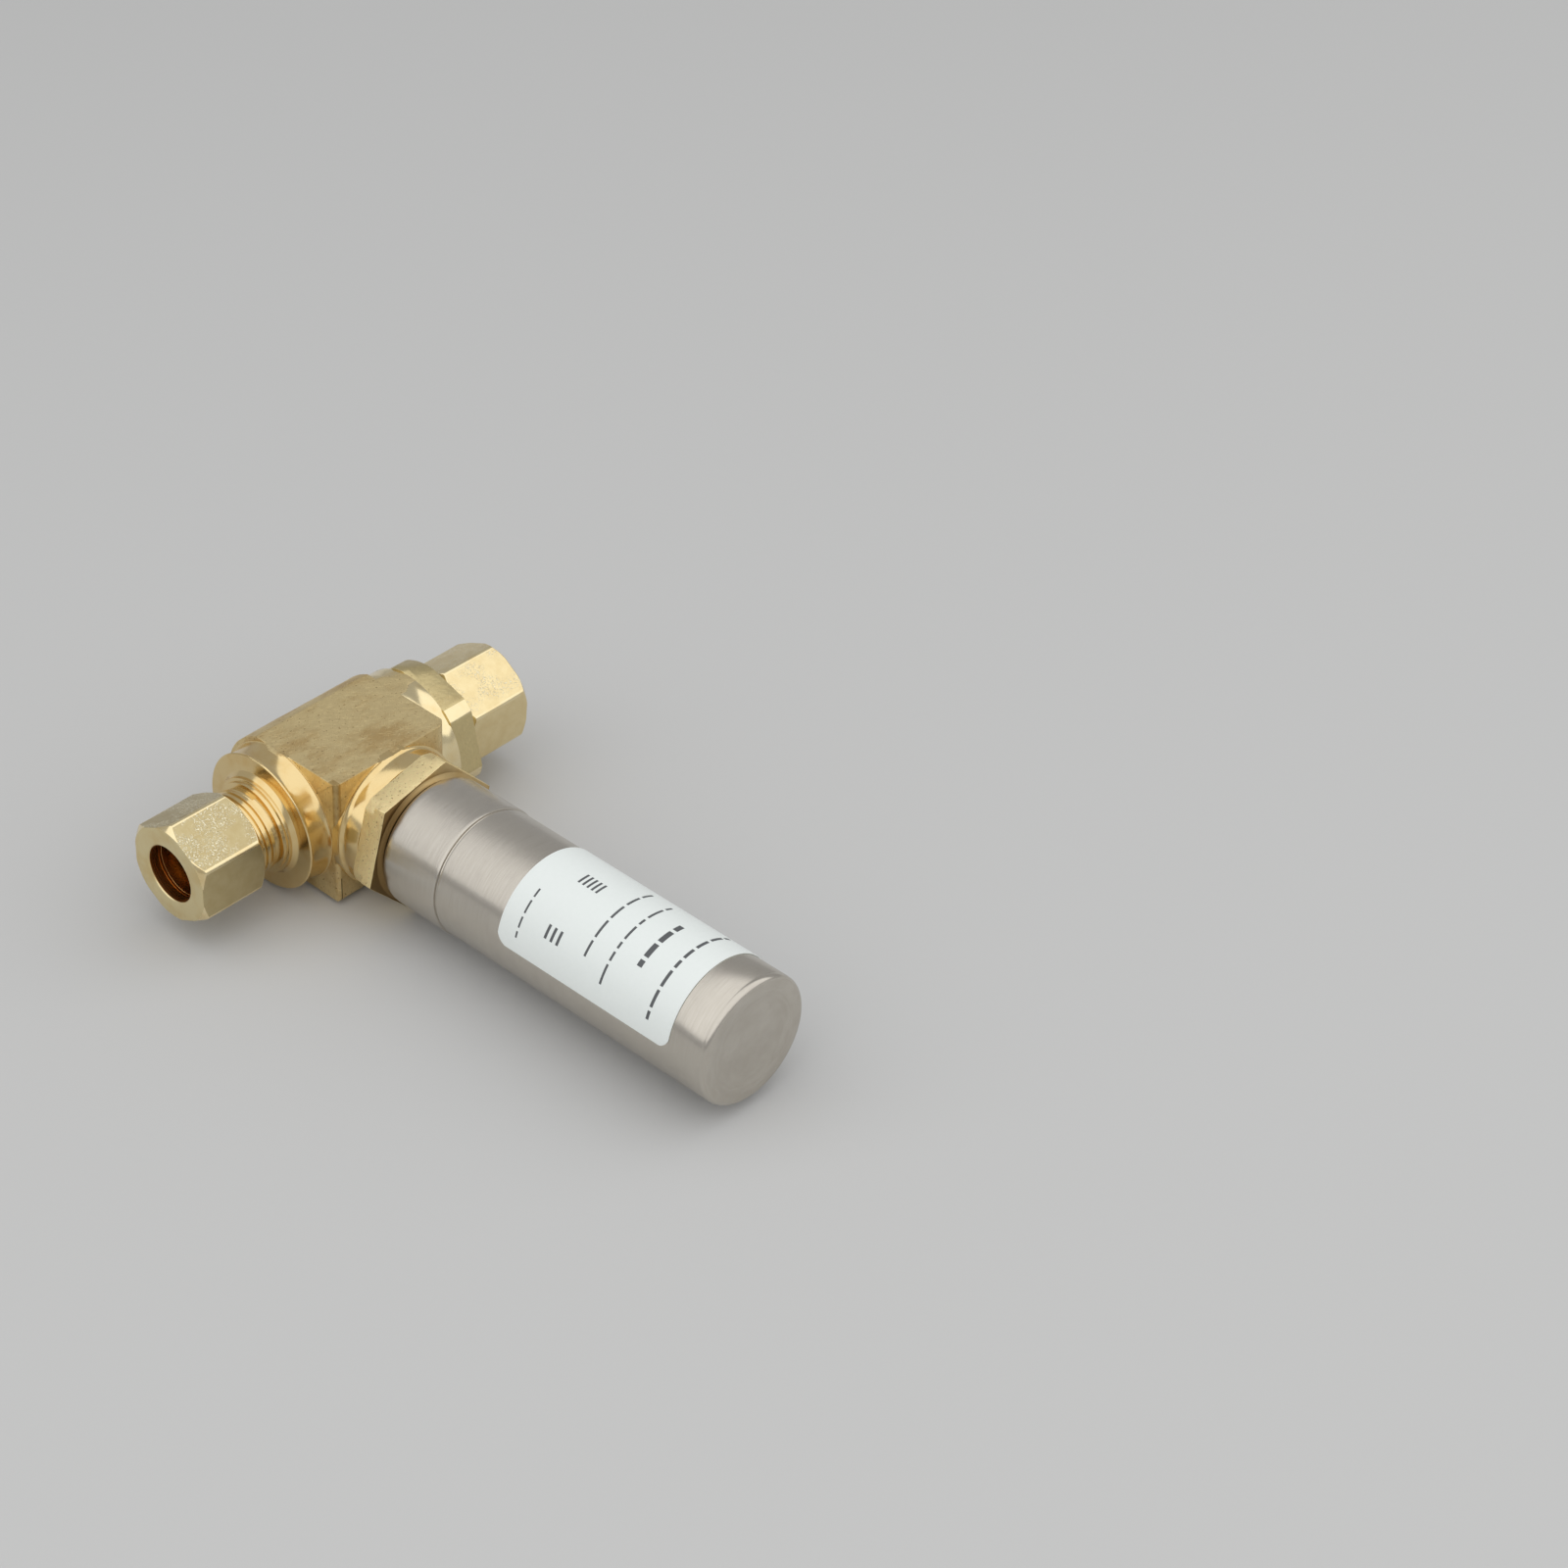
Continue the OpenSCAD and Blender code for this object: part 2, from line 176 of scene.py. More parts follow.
class Finish:
    """One material, with helpers that add and join its nodes."""

    def __init__(self, name):
        self.material = bpy.data.materials.new(name)
        self.material.use_nodes = True
        self.tree = self.material.node_tree
        self.shader = self.tree.nodes["Principled BSDF"]
        metres = self.add("ShaderNodeTexCoord").outputs["Object"]
        self.place = self.stretch((1 / MM,) * 3, at=metres)

    def add(self, kind, inputs=None, **settings):
        """A new node. Each input is a number, a colour or another node's output."""
        node = self.tree.nodes.new(kind)
        for key, value in settings.items():
            setattr(node, key, value)
        for key, value in (inputs or {}).items():
            self.feed(node.inputs[key], value)
        return node

    def feed(self, socket, value):
        if isinstance(value, bpy.types.NodeSocket):
            self.tree.links.new(value, socket)
        else:
            socket.default_value = value

    def wear(self, **sockets):
        """Puts values on the shader's sockets and gives back the finished material."""
        for key, value in sockets.items():
            value = (*value, 1) if isinstance(value, tuple) else value
            self.feed(self.shader.inputs[key.replace("_", " ")], value)
        return self.material

    def sum(self, operation, a, b=0.0):
        """One step of arithmetic on two numbers or node outputs."""
        return self.add("ShaderNodeMath", {0: a, 1: b}, operation=operation).outputs[0]

    def stretch(self, factors, at=None):
        """The place, drawn out by three factors per millimetre."""
        inputs = {0: at or self.place, 1: factors}
        return self.add("ShaderNodeVectorMath", inputs, operation="MULTIPLY").outputs[0]

    def split(self):
        """The place as three numbers, along X, Y and Z."""
        return self.add("ShaderNodeSeparateXYZ", {0: self.place}).outputs

    def across(self, axis):
        """The place along an axis, and then along the two others."""
        parts = self.split()
        return [parts[axis]] + [parts[n] for n in (X, Y, Z) if n != axis]

    def round_the_axis(self, axis):
        """The place as (along the axis, distance from it, 0), which is how a lathe sees it."""
        along, a, b = self.across(axis)
        square = self.sum("ADD", self.sum("MULTIPLY", a, a), self.sum("MULTIPLY", b, b))
        return self.add("ShaderNodeCombineXYZ", {0: along, 1: self.sum("SQRT", square)}).outputs[0]

    def unrolled(self, axis, radius):
        """The place as (along the axis, along the skin, 0), as if the skin were rolled out flat."""
        along, a, b = self.across(axis)
        on_skin = self.sum("MULTIPLY", self.sum("ARCTAN2", a, b), radius)
        return self.add("ShaderNodeCombineXYZ", {0: along, 1: on_skin}).outputs[0]

    def cloud(self, scale, detail=2.0, rough=0.5, at=None):
        """Soft noise between 0 and 1, about one blotch for each 1/scale millimetres."""
        inputs = {"Vector": at or self.place, "Scale": scale, "Detail": detail, "Roughness": rough}
        return self.add("ShaderNodeTexNoise", inputs).outputs["Fac"]

    def between(self, value, low, high):
        """0 below low, 1 above high, and smooth between them."""
        inputs = {"Value": value, "From Min": low, "From Max": high}
        return self.add("ShaderNodeMapRange", inputs, interpolation_type="SMOOTHSTEP").outputs[0]

    def ramp(self, value, low, high):
        """A number that runs from low to high as value runs from 0 to 1."""
        inputs = {"Value": value, "To Min": low, "To Max": high}
        return self.add("ShaderNodeMapRange", inputs).outputs[0]

    def blend(self, mask, under, over):
        """One colour over another, where the mask is 1."""
        under, over = [(*c, 1) if isinstance(c, tuple) else c for c in (under, over)]
        return self.add("ShaderNodeMix", {0: mask, 6: under, 7: over}, data_type="RGBA").outputs[2]

    def dashes(self, at, degrees, length, width, share):
        """Short straight strokes in one direction. A larger share gives more of them."""
        inputs = {"Vector": at, "Angle": math.radians(degrees)}
        turned = self.add("ShaderNodeVectorRotate", inputs, rotation_type="Z_AXIS").outputs[0]
        field = self.cloud(1.0, 1, 0.4, at=self.stretch((1 / length, 1 / width, 1.0), at=turned))
        return self.between(field, 0.78 - share, 0.82 - share)

    def strokes(self, at, share, *kinds):
        """Strokes of several kinds. Each kind is (degrees, length, width)."""
        marks = [self.dashes(at, *kind, share) for kind in kinds]
        together = marks[0]
        for more in marks[1:]:
            together = self.sum("MAXIMUM", together, more)
        return together

    def bump(self, height, depth, under=None):
        """Raises the surface by up to depth millimetres where height is 1."""
        inputs = {"Height": height, "Distance": depth * MM, "Strength": 1.0}
        if under is not None:
            inputs["Normal"] = under
        return self.add("ShaderNodeBump", inputs).outputs["Normal"]


def shade(colour, red, green, blue):
    """A colour made darker or paler by three factors, and never more than white."""
    return tuple(min(1.0, c * k) for c, k in zip(colour, (red, green, blue)))


print("finish helpers are ready:", len([n for n in vars(Finish) if n[0] != "_"]))

# %% [markdown]
# ## Brass, turned on a lathe
#
# The ends of the tee, the collars and the ferrules are turned. A lathe leaves very fine grooves
# round the axis, so the shine is smooth along the groove and soft across it. The pattern is noise
# that only sees two numbers: how far along the axis a point is and how far from it. Fresh brass is
# a warm yellow. It deepens to orange by itself where one brass face mirrors another. The face beside
# the canister is a darker brass, partly stain and partly painted shade, and painted shade darkens
# its left side further, so that finish fades between two colours. The ferrules and the nuts' holes
# take a deeper orange brass, a painted reflection of the brass around them. A paler brass is painted
# highlight, with burnish on the nut corners.

# %% Turned brass
BRASS = (0.80, 0.615, 0.31)
shade_up_to, unshaded_from = -8.0, 2.0


def turned_brass(name, axis, colour=BRASS, roughness=(0.12, 0.2), painted_shade_colour=None):
    f = Finish(name)
    lathe = f.round_the_axis(axis)
    groove = f.cloud(2.2, 3, 0.6, at=lathe)
    fine = f.cloud(9, 2, 0.6, at=lathe)
    film = f.between(f.cloud(0.25, 3, 0.6), 0.42, 0.75)
    tint = f.blend(film, colour, shade(colour, 0.93, 0.86, 0.74))
    # painted shade: the left side, toward low X, takes the darker colour
    if painted_shade_colour:
        tint = f.blend(f.between(f.split()[X], shade_up_to, unshaded_from), painted_shade_colour, tint)
    return f.wear(
        Base_Color=tint,
        Metallic=1.0,
        Roughness=f.ramp(groove, *roughness),
        Normal=f.bump(fine, 0.0015, under=f.bump(groove, 0.003)),
    )


brass_turned_run = turned_brass("brass_turned_run", X)
brass_turned_branch = turned_brass("brass_turned_branch", Y)
# darker brass for the face beside the canister: partly stain, partly painted shade, with more painted shade on its left
# side
brass_stain_and_shade = turned_brass("brass_stain_and_shade", Y, (0.60, 0.44, 0.21), (0.28, 0.4), painted_shade_colour=(0.26, 0.165, 0.065))
# painted reflection: the ferrules take a deeper orange brass for the brass they mirror
ferrule_brass = turned_brass("ferrule_brass", X, (0.66, 0.37, 0.13), (0.2, 0.3))
# paler brass: painted highlight on the right neck, the wrench facet and the nut corners, with burnish on the nut
# corners
highlight_and_burnish_brass = turned_brass("highlight_and_burnish_brass", X, (0.90, 0.76, 0.46))
nut_face_brass = turned_brass("nut_face_brass", X, (0.80, 0.68, 0.39), (0.3, 0.4))
# painted reflection: the nuts' holes and inner threads take a deeper orange brass for the brass they mirror
nut_hole_brass = turned_brass("nut_hole_brass", X, (0.68, 0.38, 0.14), (0.22, 0.32))
print("turned brass:", [m.name for m in (brass_turned_run, brass_turned_branch, brass_stain_and_shade, ferrule_brass)])
print("and in the nuts:", [m.name for m in (highlight_and_burnish_brass, nut_face_brass, nut_hole_brass)])

# %% [markdown]
# ## Brass, as forged
#
# The block in the middle was pressed red hot between two dies and then only cleaned. Its skin is a
# dull tan with brown stains, faint scuffs and tiny pits. It could be modelled in full, but pits of
# a fifth of a millimetre are better as bump. Large soft waves are put into the mesh later, where
# the edge of the block shows them. The hexagons are the same skin in other tints. The corner between
# the necks takes a darker tint as painted shade, and a thin line low in that corner is nearly black.

# %% Forged brass
FORGED = (0.80, 0.64, 0.34)
pit_brown = (0.25, 0.13, 0.04)
blotch_stretch = (0.7, 1.5, 1.0)


def forged_brass(name, colour, stain, stained=(0.42, 0.66), pits=0.585, roughness=(0.36, 0.5), scuffs=0.12):
    """stained is where the stain starts and is full, and lower pits and higher scuffs give more of them."""
    f = Finish(name)
    blotch = f.between(f.cloud(0.13, 5, 0.66, at=f.stretch(blotch_stretch)), *stained)
    grain = f.cloud(1.6, 4, 0.65)
    pit = f.between(f.cloud(2.6, 1, 0.5), pits + 0.08, pits + 0.16)
    scuff = f.sum("MULTIPLY", f.strokes(f.place, scuffs, (35, 1.6, 0.11), (-40, 1.3, 0.1)), 0.4)
    tint = f.blend(blotch, colour, stain)
    tint = f.blend(f.ramp(f.between(grain, 0.35, 0.7), 0.0, 0.3), tint, shade(colour, 0.8, 0.8, 0.8))
    tint = f.blend(f.sum("MULTIPLY", pit, 0.75), tint, pit_brown)
    tint = f.blend(scuff, tint, shade(colour, 1.3, 1.3, 1.3))
    height = f.sum("SUBTRACT", f.sum("MULTIPLY", grain, 0.5), f.sum("MAXIMUM", pit, scuff))
    return f.wear(
        Base_Color=tint,
        Metallic=1.0,
        Roughness=f.ramp(grain, *roughness),
        Normal=f.bump(height, 0.03, under=f.bump(f.cloud(0.45, 2, 0.5), 0.09)),
    )


brass_forged = forged_brass("brass_forged", FORGED, stain=(0.64, 0.45, 0.20))
brass_hexagon = forged_brass(
    "brass_hexagon", (0.92, 0.745, 0.405), stain=(0.64, 0.46, 0.20),
    stained=(0.6, 0.85), pits=0.575, roughness=(0.38, 0.52), scuffs=0.16,
)
brass_wrench = forged_brass(
    "brass_wrench", (0.66, 0.54, 0.28), stain=(0.56, 0.41, 0.18),
    stained=(0.5, 0.8), pits=0.66, roughness=(0.28, 0.4),
)
# painted shade: a darker tint for the corner between the two necks
brass_corner_shade = forged_brass("brass_corner_shade", (0.58, 0.42, 0.18), stain=(0.42, 0.26, 0.10))
# a nearly black tint for a thin line low on the block's front left corner
brass_dark_line = forged_brass("brass_dark_line", (0.13, 0.08, 0.03), stain=(0.08, 0.05, 0.02), roughness=(0.5, 0.6))
print("forged brass:", [m.name for m in (brass_forged, brass_hexagon, brass_wrench, brass_corner_shade, brass_dark_line)])

# %% [markdown]
# ## Brass, drawn to a hexagon
#
# The nuts are cut from bright hexagonal bar. Drawing the bar through its die leaves faint lines
# along its length, and tumbling a box full of nuts leaves small nicks. Noise that is drawn
# out along the run gives the lines. The nicks are short strokes in three directions, on the skin as
# if it were rolled out flat. They lie in clusters, and are drawn only on the sides that are up and
# paler than the metal around them, as a painted highlight of the glints they catch. They are also a
# little smoother.

# %% Nut brass
nick_kinds = ((15, 0.55, 0.16), (70, 0.5, 0.15), (128, 0.5, 0.15))
nick_glint_colour = (0.96, 0.90, 0.68)
unlit_up_to, lit_from = 4.0, 5.2


def bar_brass(name, colour, share, smooth):
    """A larger share gives more nicks. smooth is the roughness of the smoothest places."""
    f = Finish(name)
    lines = f.cloud(1.0, 3, 0.6, at=f.stretch((0.12, 2.4, 2.4)))
    mottle = f.cloud(0.5, 3, 0.6)
    cluster = f.between(f.cloud(0.22, 2, 0.5), 0.38, 0.52)
    # painted highlight: nicks are drawn only on the upper side, where they would catch the light
    lit_side = f.between(f.split()[Z], unlit_up_to, lit_from)
    nick_and_glint = f.strokes(f.unrolled(X, 8.0), share, *nick_kinds)
    nick_and_glint = f.sum("MULTIPLY", nick_and_glint, f.sum("MULTIPLY", cluster, lit_side))
    tint = f.blend(f.between(mottle, 0.3, 0.7), colour, shade(colour, 0.93, 0.9, 0.85))
    rough = f.ramp(mottle, smooth, smooth + 0.1)
    return f.wear(
        # painted highlight: the nicks take a pale glint colour
        Base_Color=f.blend(f.sum("MULTIPLY", nick_and_glint, 0.8), tint, nick_glint_colour),
        Metallic=1.0,
        Roughness=f.sum("SUBTRACT", rough, f.sum("MULTIPLY", nick_and_glint, 0.08)),
        Normal=f.bump(nick_and_glint, -0.03, under=f.bump(lines, 0.006, under=f.bump(mottle, 0.012))),
    )


left_nut_brass = bar_brass("left_nut_brass", (0.56, 0.465, 0.255), 0.17, 0.26)
right_nut_brass = bar_brass("right_nut_brass", (0.87, 0.72, 0.41), 0.13, 0.2)
print("nut brass:", left_nut_brass.name, right_nut_brass.name)

# %% [markdown]
# ## Brushed stainless steel
#
# The canister is spun against an abrasive belt, so its scratches run round it. Light is smeared
# along the canister and stays crisp around it. The shader's own anisotropy gives the smear, with
# its direction taken round the canister's axis. Noise that is long in X and Z and very short in Y
# gives the visible hair lines.

# %% Steel
def brushed_steel(name):
    f = Finish(name)
    hair = f.cloud(1.0, 3, 0.7, at=f.stretch((0.2, 11.0, 0.2)))
    wide_hair = f.cloud(1.0, 2, 0.5, at=f.stretch((0.1, 1.6, 0.1)))
    mottle = f.cloud(0.35, 3, 0.6)
    tint = f.blend(f.between(hair, 0.3, 0.7), (0.56, 0.52, 0.455), (0.625, 0.585, 0.52))
    dull = f.sum("MULTIPLY", f.between(mottle, 0.45, 0.8), 0.3)
    tint = f.blend(dull, tint, (0.5, 0.46, 0.41))
    around = f.add("ShaderNodeTangent", direction_type="RADIAL", axis="Y").outputs[0]
    return f.wear(
        Base_Color=tint,
        Metallic=1.0,
        Roughness=f.ramp(wide_hair, 0.21, 0.29),
        Anisotropic=0.75,
        Anisotropic_Rotation=0.25,
        Tangent=around,
        Normal=f.bump(hair, 0.004),
    )


steel = brushed_steel("steel_brushed")
print("steel:", steel.name)

# %% [markdown]
# ## Plastics, rubber, label film and ink
#
# The last finishes are quiet ones. The label is a pale film with a faint gloss, and its ink is a
# soft near-black. The piston is moulded plastic with a fine texture. The rings are black rubber.

# %% Label, ink, plastic and rubber
def soft_finish(name, low, high, roughness, scale, depth):
    """A plain finish whose colour and roughness waver between two values."""
    f = Finish(name)
    speck = f.cloud(scale, 3, 0.6)
    return f.wear(
        Base_Color=f.blend(speck, low, high),
        Roughness=f.ramp(speck, *roughness),
        Normal=f.bump(speck, depth),
    )


label_film = soft_finish("label_film", (0.82, 0.865, 0.84), (0.86, 0.90, 0.88), (0.3, 0.42), 1.5, 0.003)
label_ink = soft_finish("label_ink", (0.075, 0.08, 0.085), (0.12, 0.125, 0.13), (0.4, 0.55), 6, 0.001)
piston_plastic = soft_finish("piston_plastic", (0.78, 0.76, 0.69), (0.84, 0.82, 0.76), (0.4, 0.5), 2.0, 0.01)
seal_rubber = soft_finish("seal_rubber", (0.018, 0.018, 0.018), (0.03, 0.03, 0.03), (0.45, 0.6), 2.5, 0.01)
print("soft finishes:", label_film.name, label_ink.name, piston_plastic.name, seal_rubber.name)

# %% [markdown]
# ## Tools for shapes
#
# Nearly every part of a fitting is a section swept around an axis. A round part has the same
# section at every angle. A hexagon has one whose radius follows its flats. So one helper skins a
# row of closed sections, and small ones turn a corner into a soft edge, which is what catches the
# light on real metal. The three axes are the left end and the right end of the run and the branch.

# %% Helpers for meshes
AXES = {
    "left": (np.array((-1.0, 0, 0)), np.array((0, 1.0, 0))),
    "right": (np.array((1.0, 0, 0)), np.array((0, -1.0, 0))),
    "branch": (np.array((0, -1.0, 0)), np.array((-1.0, 0, 0))),
}
UP = np.array((0, 0, 1.0))


def skin(name, sections, materials, body, around=True, sharp=26, paint=None):
    """A mesh through closed sections of points in millimetres.

    around closes the row of sections into a ring. paint gives a face's material by its middle.
    """
    rows = np.asarray(sections, float)
    count, size = rows.shape[:2]
    grid = np.arange(count * size).reshape(count, size)
    here, there = (grid, np.roll(grid, -1, 0)) if around else (grid[:-1], grid[1:])
    faces = np.stack([here, there, np.roll(there, -1, 1), np.roll(here, -1, 1)], -1).reshape(-1, 4).tolist()
    if not around:
        faces += [grid[0].tolist(), grid[-1][::-1].tolist()]
    mesh = bpy.data.meshes.new(name)
    mesh.from_pydata((rows.reshape(-1, 3) * MM).tolist(), [], faces)
    for material in materials:
        mesh.materials.append(material)
    bm = bmesh.new()
    bm.from_mesh(mesh)
    bmesh.ops.remove_doubles(bm, verts=bm.verts, dist=2e-7)
    bmesh.ops.dissolve_degenerate(bm, edges=bm.edges, dist=1e-7)
    bmesh.ops.recalc_face_normals(bm, faces=bm.faces)
    for face in bm.faces:
        face.smooth = True
        if paint:
            face.material_index = paint(face.calc_center_median() / MM)
    bm.to_mesh(mesh)
    bm.free()
    mesh.set_sharp_from_angle(angle=math.radians(sharp))
    piece = bpy.data.objects.new(name, mesh)
    scene.collection.objects.link(piece)
    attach(piece, body)
    return piece


def soften(loop, cut, steps=3):
    """Rounds the corners of a closed loop. cut is one length, or one for each corner."""
    loop = [np.array(p, float) for p in loop]
    out = []
    for i, corner in enumerate(loop):
        before, after = loop[i - 1] - corner, loop[(i + 1) % len(loop)] - corner
        take = cut[i] if isinstance(cut, (list, tuple)) else cut
        start = corner + before * min(0.45, take / max(np.linalg.norm(before), 1e-9))
        end = corner + after * min(0.45, take / max(np.linalg.norm(after), 1e-9))
        for t in np.linspace(0, 1, steps + 1):
            out.append((1 - t) ** 2 * start + 2 * t * (1 - t) * corner + t * t * end)
    return out


def sweep(axis, angles, profile):
    """Sections in space for a profile that may change with the angle, measured from the top."""
    along, side = AXES[axis]
    sections = []
    for t in angles:
        out = UP * math.cos(t) + side * math.sin(t)
        sections.append([along * a + out * r for a, r in profile(t)])
    return sections


def full_circle(count):
    return np.linspace(0, 2 * math.pi, count, endpoint=False)


def arc(middle, radius, start, end, count):
    """Points (along, radius) on an arc. Angles are in degrees from the along direction."""
    turn = np.radians(np.linspace(start, end, count))
    return [(middle[0] + radius * math.cos(t), middle[1] + radius * math.sin(t)) for t in turn]


print("shape helpers are ready")

# %% [markdown]
# ## Hexagons
#
# A hexagon's radius at an angle is its half width over a cosine. The six edges of real bar are
# rounded by a fraction of a millimetre, so near an edge the radius follows a small arc. The angles
# are packed close together there, and evenly along each flat.

# %% Helpers for hexagons
def hexagon_radius(angle, flats, corner, edge):
    """How far the skin is from the axis. corner is the angle of a corner, edge its rounding."""
    half = flats / 2
    turn = abs((angle - corner) % (math.pi / 3) - math.pi / 6)
    mid_x, mid_y = half - edge, (half - edge) * math.tan(math.pi / 6)
    if math.tan(turn) * half <= mid_y:
        return half / math.cos(turn)
    reach = mid_x * math.cos(turn) + mid_y * math.sin(turn)
    return reach + math.sqrt(reach * reach - mid_x * mid_x - mid_y * mid_y + edge * edge)


def hexagon_angles(flats, corner, edge, on_flat=22, on_edge=6):
    """Angles for a sweep, with so many points on each flat and on each rounded corner."""
    end = math.atan((flats / 2 - edge) * math.tan(math.pi / 6) / (flats / 2))
    reach = math.tan(end)
    out = []
    for k in range(6):
        middle = corner + math.pi / 6 + k * math.pi / 3
        out += [middle + math.atan(u) for u in np.linspace(-reach, reach, on_flat)]
        out += list(np.linspace(middle + end, middle + math.pi / 3 - end, on_edge + 2)[1:-1])
    return out


print("a 15.875 mm hexagon is", round(2 * hexagon_radius(0, 15.875, 0, 0.01), 2), "mm over its corners")

# %% [markdown]
# ## The forged block
#
# The heart of the tee is one forging: round at the back, flat above, below and in front. Its
# outline is drawn once as seen along the run, then carried along the run in fine steps. Soft noise
# moves the skin by a few hundredths of a millimetre, because a forged face is never quite flat.
# The front leans out a little toward the top, and its upright corners are rounded. The left end is
# a turned shoulder with a crisp rim, and the right end keeps the die's soft edge.

# %% Draw the block's outline
half_height, back_radius, die_edge, top_edge = 11.6, 12.6, 0.8, 0.12
front_top, front_bottom = 13.5, 12.6
waterway = 4.0
outline_points = 480


def block_outline(count):
    """Evenly spaced points (y, z) around the back, the bottom, the front and the top."""
    flat_end = math.sqrt(back_radius**2 - half_height**2)
    lift = math.degrees(math.atan2(half_height, flat_end))
    line = arc((0, 0), back_radius, lift, -lift, 90)
    line += arc((die_edge - front_bottom, die_edge - half_height), die_edge, 270, 180, 14)
    line += arc((top_edge - front_top, half_height - top_edge), top_edge, 180, 90, 8)
    line = np.array(line + line[:1])
    steps = np.concatenate([[0], np.cumsum(np.linalg.norm(np.diff(line, axis=0), axis=1))])
    at = np.linspace(0, steps[-1], count, endpoint=False)
    return np.stack([np.interp(at, steps, line[:, k]) for k in (0, 1)], -1)


outline = block_outline(outline_points)
tangent = np.roll(outline, -1, 0) - np.roll(outline, 1, 0)
outward = np.stack([-tangent[:, 1], tangent[:, 0]], -1)
outward /= np.linalg.norm(outward, axis=1)[:, None]
outward *= np.sign((outward * outline).sum(1))[:, None]
bore_ring = outline / np.linalg.norm(outline, axis=1)[:, None] * waterway
print("the block's outline has", len(outline), "points")

# %% Carry the outline along the run
block_left, block_right = -11.4, 11.8
left_corner, right_corner, end_edge = 0.8, 2.2, 0.4


def forged_wave(x, y, z):
    """How far the forged skin stands out at a point, in millimetres."""
    large = 0.07 * noise.noise(Vector((x, y, z)) / 5.5)
    return large + 0.025 * noise.noise(Vector((x + 9, y, z)) / 1.7)


def corner_cut(x):
    """How far the front steps back near either end, which rounds the block's upright corners."""
    cut = 0.0
    for corner, from_end in ((left_corner, x - block_left), (right_corner, block_right - x)):
        short = min(corner, max(0.0, corner - from_end))
        cut = max(cut, corner - math.sqrt(corner**2 - short**2))
    return cut


def block_section(x, inset=0.0, wave=1.0):
    """The outline at one place on the run, drawn in by inset and with so much of the wave."""
    section = []
    for (y, z), (ny, nz) in zip(outline, outward):
        out = wave * forged_wave(x, y, z) - inset
        front = front_bottom + (front_top - front_bottom) * (z / half_height + 1) / 2
        section.append((x, min(back_radius, max(y + ny * out, corner_cut(x) - front)), z + nz * out))
    return section


print("the front steps back by", round(corner_cut(block_right), 2), "mm at its right corner")

# %% Forge the block
dark_line_at, dark_line_width = 0.5, 0.16
dark_line_bottom, dark_line_top, shade_bottom, corner_back = -11.5, -7, -4, -11.8


def block_paint(middle):
    """1 for painted shade in the corner between the two necks, 2 on a nearly black line low in that corner, 0
    elsewhere.
    """
    from_left = middle.x - block_left
    if middle.y > corner_back or from_left > left_corner + 0.2 or from_left < 0.01:
        return 0
    if dark_line_at < from_left < dark_line_at + dark_line_width and dark_line_bottom < middle.z < dark_line_top:
        return 2
    # painted shade in the upper part of that corner
    return 1 if middle.z > shade_bottom else 0


corner_steps = (0.06, 0.12, 0.2, 0.3, 0.4, dark_line_at, dark_line_at + dark_line_width, 0.7, 0.85, 1.0, 1.3)
sections = [[(block_left, y, z) for y, z in bore_ring], block_section(block_left, 0.3, 0)]
sections += [block_section(block_left, 0.06, 0.5)]
sections += [block_section(block_left + step) for step in corner_steps]
sections += [block_section(x) for x in np.arange(block_left + 1.6, block_right - end_edge - 0.1, 0.3)]
for t in np.radians(np.linspace(0, 90, 10)):
    inset = end_edge * (1 - math.cos(t))
    sections.append(block_section(block_right - end_edge * (1 - math.sin(t)), inset))
sections.append([(block_right, y, z) for y, z in bore_ring])

block = skin("tee_block", sections, [brass_forged, brass_corner_shade, brass_dark_line], "tee", sharp=32, paint=block_paint)
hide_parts("tee_body")
print("tee_block:", len(block.data.polygons), "faces")

# %% [markdown]
# ## The turned left end
#
# On the left the forging is turned: a narrow rim, a shallow cove, a front rim, a cone, two small
# shoulders and the thread. The forging is flat at the top and bottom, and the tool passes just
# above that flat, so the flat runs on over the collar. Each point of the sweep that would stand
# above the flat is pressed down onto it, and those faces keep the forged skin.

# %% Sizes of the turned ends
thread_root, thread_tip, thread_end, thread_chamfer = 6.62, 6.3, 28.1, 0.3
socket, tube_stop, seat_start, seat_mouth = 4.8425, 20.0, 25.14, 6.04
core, core_start = 6.0, 0.5

collar_back, collar_front, collar_chamfer = 11.9, 11.7, 0.2
collar_root, collar_band_end, collar_face = 11.2, 11.55, 15.6
collar_edge = collar_face - collar_chamfer
cone, cone_end = 8.8, 16.25
big_ring, big_ring_end = 8.1, 16.9
small_ring, small_ring_end = 7.6, 17.55

cove_top, cove_fall, cove_depth = 11.8, 0.1, 0.36
cove_middle = (collar_band_end + collar_edge) / 2
cove_half = (collar_edge - collar_band_end) / 2
cove = []
for t in np.linspace(0.0, math.pi, 15)[1:-1]:
    radius = cove_top - cove_fall * (1 - math.cos(t)) / 2 - cove_depth * math.sin(t)
    cove.append((cove_middle - cove_half * math.cos(t), radius))
print("the cove is", round(2 * cove_half, 2), "mm wide")


# %% Turn the left end
def inside_of_run_end():
    """The seat, the socket for the tube, its shoulder and the waterway."""
    seat = [(thread_end, seat_mouth), (seat_start, socket)]
    return seat + [(tube_stop, socket), (tube_stop, waterway), (core_start, waterway)]


